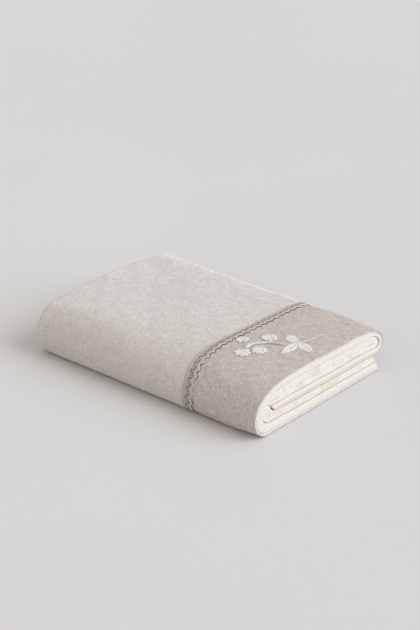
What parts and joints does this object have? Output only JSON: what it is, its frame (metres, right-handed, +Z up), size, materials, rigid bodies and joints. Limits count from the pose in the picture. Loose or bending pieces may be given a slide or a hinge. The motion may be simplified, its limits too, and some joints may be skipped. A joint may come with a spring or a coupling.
{
  "type": "folded bath towel",
  "caption": "Terry bath towel folded for a shelf, with a linen end band, crochet lace over its seam and a raised flower and leaf sprig.",
  "frame": {"origin": "middle of the footprint, on the surface that the folded towel lies on", "axes": "+X along the towel towards the decorated end with the hems, +Y towards the back fold and the free edge, -Y towards the big round front fold, +Z up"},
  "size_m": [0.35, 0.245, 0.0661],
  "materials": {
    "terry": "matt looped cotton pile, heathered off-white and pale beige",
    "linen": "matt plain-woven greige linen with slubs",
    "lace": "matt taupe crochet cotton",
    "thread": "off-white embroidery thread with a slight silk sheen"
  },
  "bodies": {
    "root": {"towel": "terry", "linen_band": "linen", "lace_trim": "lace", "flower_1": "thread", "flower_2": "thread", "flower_3": "thread", "flower_4": "thread", "leaf_1": "thread", "leaf_2": "thread", "leaf_3": "thread", "stem_main": "thread", "stem_tail": "thread"}
  },
  "joints": []
}
